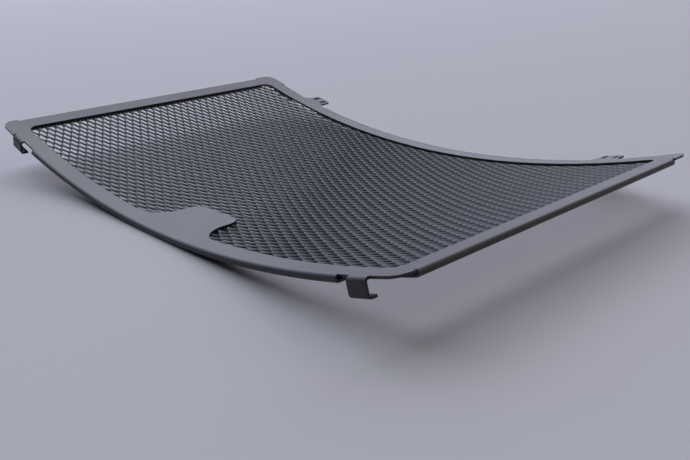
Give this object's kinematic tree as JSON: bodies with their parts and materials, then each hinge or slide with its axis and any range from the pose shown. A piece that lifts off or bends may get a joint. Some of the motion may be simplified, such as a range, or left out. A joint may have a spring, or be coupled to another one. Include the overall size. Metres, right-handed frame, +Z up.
{
  "type": "motorcycle radiator guard",
  "caption": "Curved radiator guard: a hemmed sheet-metal frame with hooks, slotted tie tabs and a tongue, clamping an expanded-metal mesh panel.",
  "frame": {"origin": "middle of the base, where the curved belly touches the surface it lies on, midway between the hooks and the tie tabs", "axes": "+X along the guard's width, +Y from the edge with the hooks to the edge with the tie tabs, +Z up, towards the side that curls up"},
  "size_m": [0.3456, 0.2276, 0.0301],
  "materials": {
    "frame_coat": "satin black powder coat on folded aluminium sheet",
    "mesh_coat": "satin black powder coat on expanded aluminium mesh"
  },
  "bodies": {
    "root": {"frame": "frame_coat", "mesh_panel": "mesh_coat"}
  },
  "joints": []
}
